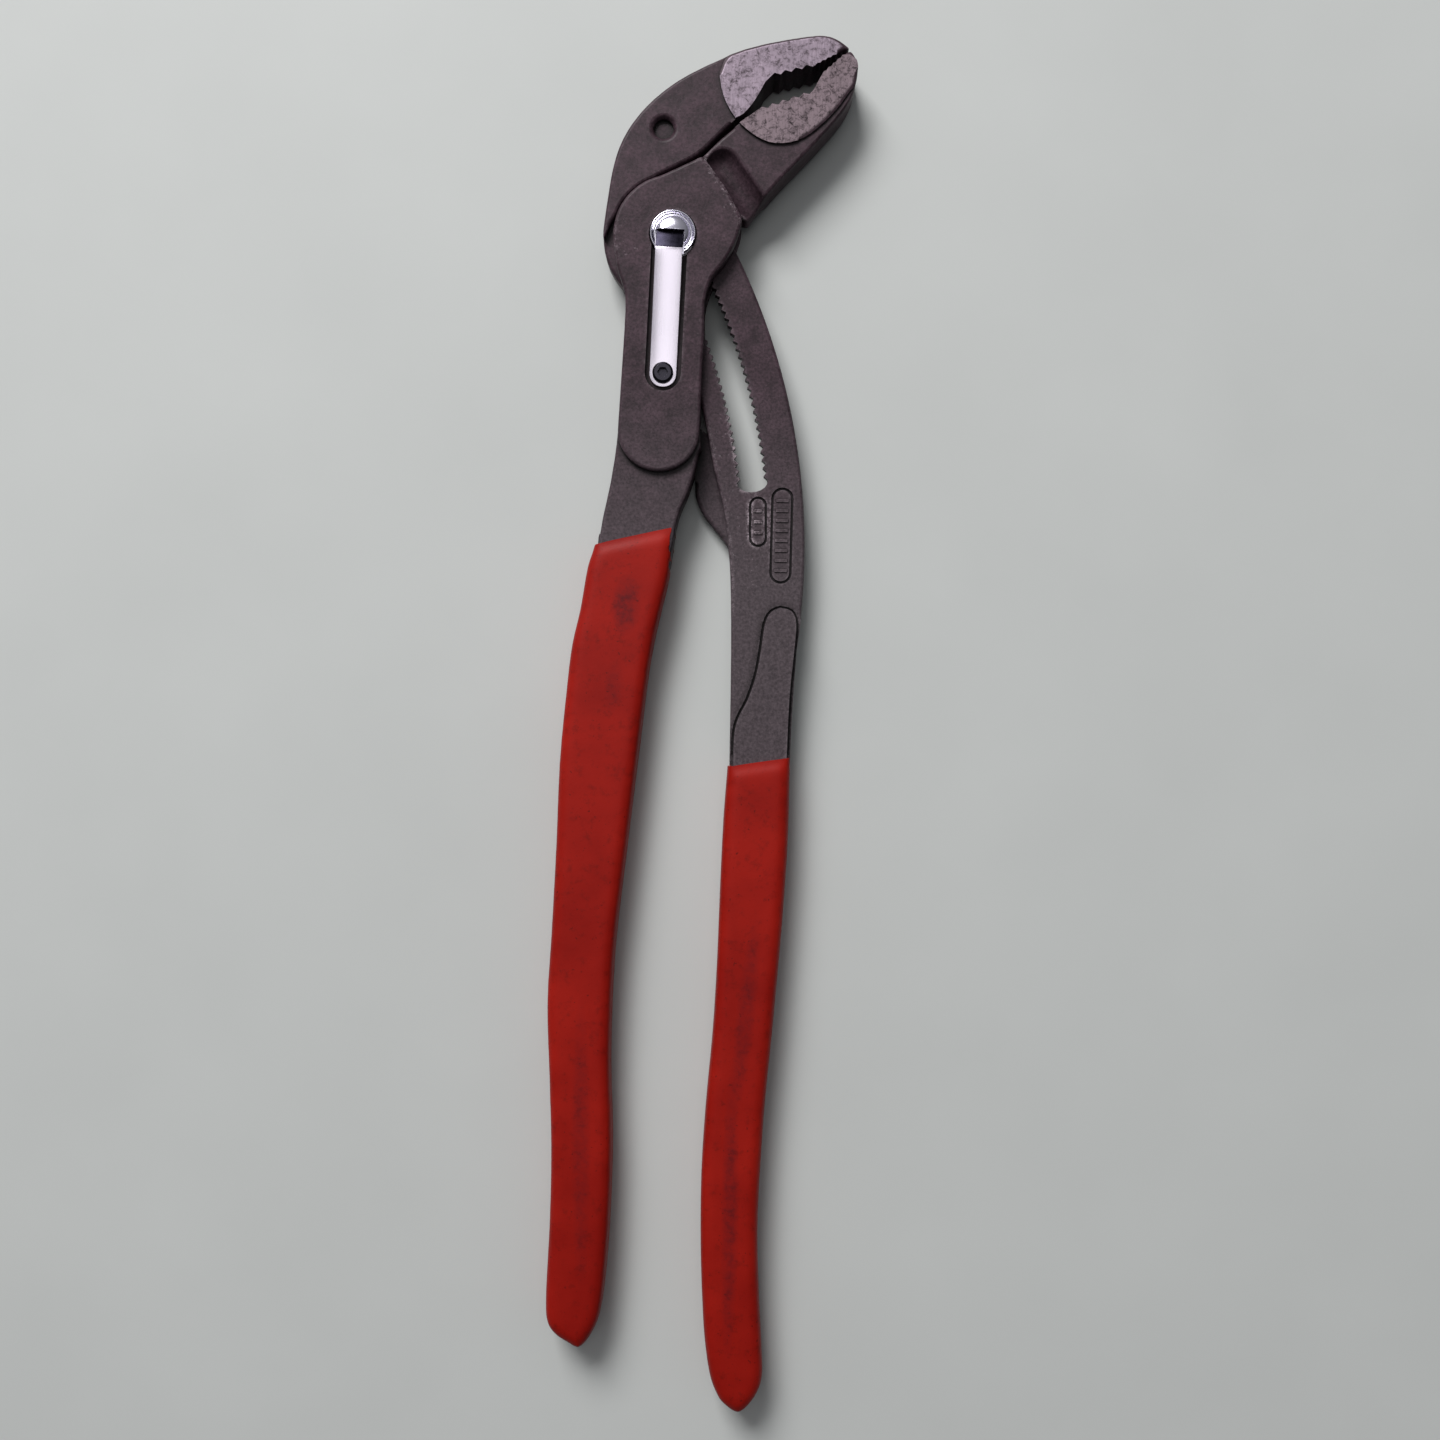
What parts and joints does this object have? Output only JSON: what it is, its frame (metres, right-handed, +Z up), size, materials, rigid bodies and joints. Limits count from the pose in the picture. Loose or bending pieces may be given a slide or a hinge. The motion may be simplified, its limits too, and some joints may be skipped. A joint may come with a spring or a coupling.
{
  "type": "tongue and groove pliers",
  "caption": "Large tongue and groove pliers with a push-button toothed slot joint, leaf spring, serrated pipe jaws and red dipped grips.",
  "frame": {"origin": "the pivot's axis where it meets the back face of the joint, which rests on the bench", "axes": "+X to the right and +Y towards the jaws along the tool as it lies flat, +Z up, out of the button"},
  "size_m": [0.0905, 0.3985, 0.0172],
  "materials": {
    "forged_steel": "phosphated, oiled forging with ground jaw faces",
    "bright_steel": "bright spring and turned parts",
    "button_chrome": "polished",
    "black_oxide": "black oxide screw",
    "red_vinyl": "dipped vinyl with a dull sheen"
  },
  "bodies": {
    "lower_arm": {"lower_jaw_arm": "forged_steel", "leaf_spring": "bright_steel", "spring_screw": "black_oxide", "left_grip": "red_vinyl"},
    "pivot": {"pivot_bolt": "bright_steel", "retaining_ring": "bright_steel"},
    "upper_arm": {"upper_jaw_arm": "forged_steel", "right_grip": "red_vinyl"},
    "button": {"button_cap": "button_chrome"},
    "key": {"locking_key": "bright_steel"}
  },
  "joints": [
    {"name": "handle_hinge", "type": "hinge", "parent": "lower_arm", "child": "pivot", "pos_m": [0, 0, 0], "axis": [0, 0, 1], "range_deg": [0, 30]},
    {"name": "jaw_adjust", "type": "hinge", "parent": "pivot", "child": "upper_arm", "pos_m": [-0.15459, -0.08925, 0], "axis": [0, 0, 1], "range_deg": [0, 18]},
    {"name": "button_press", "type": "slide", "parent": "lower_arm", "child": "button", "axis": [0, 0, -1], "range_m": [0, 0.0031], "stiffness_N_per_m": 2500, "deforming": ["leaf_spring"]},
    {"name": "key_press", "type": "slide", "parent": "pivot", "child": "key", "axis": [0, 0, -1], "range_m": [0, 0.0031]}
  ],
  "couplings": [
    {"joint": "key_press", "follows": "button_press", "ratio": 1}
  ]
}
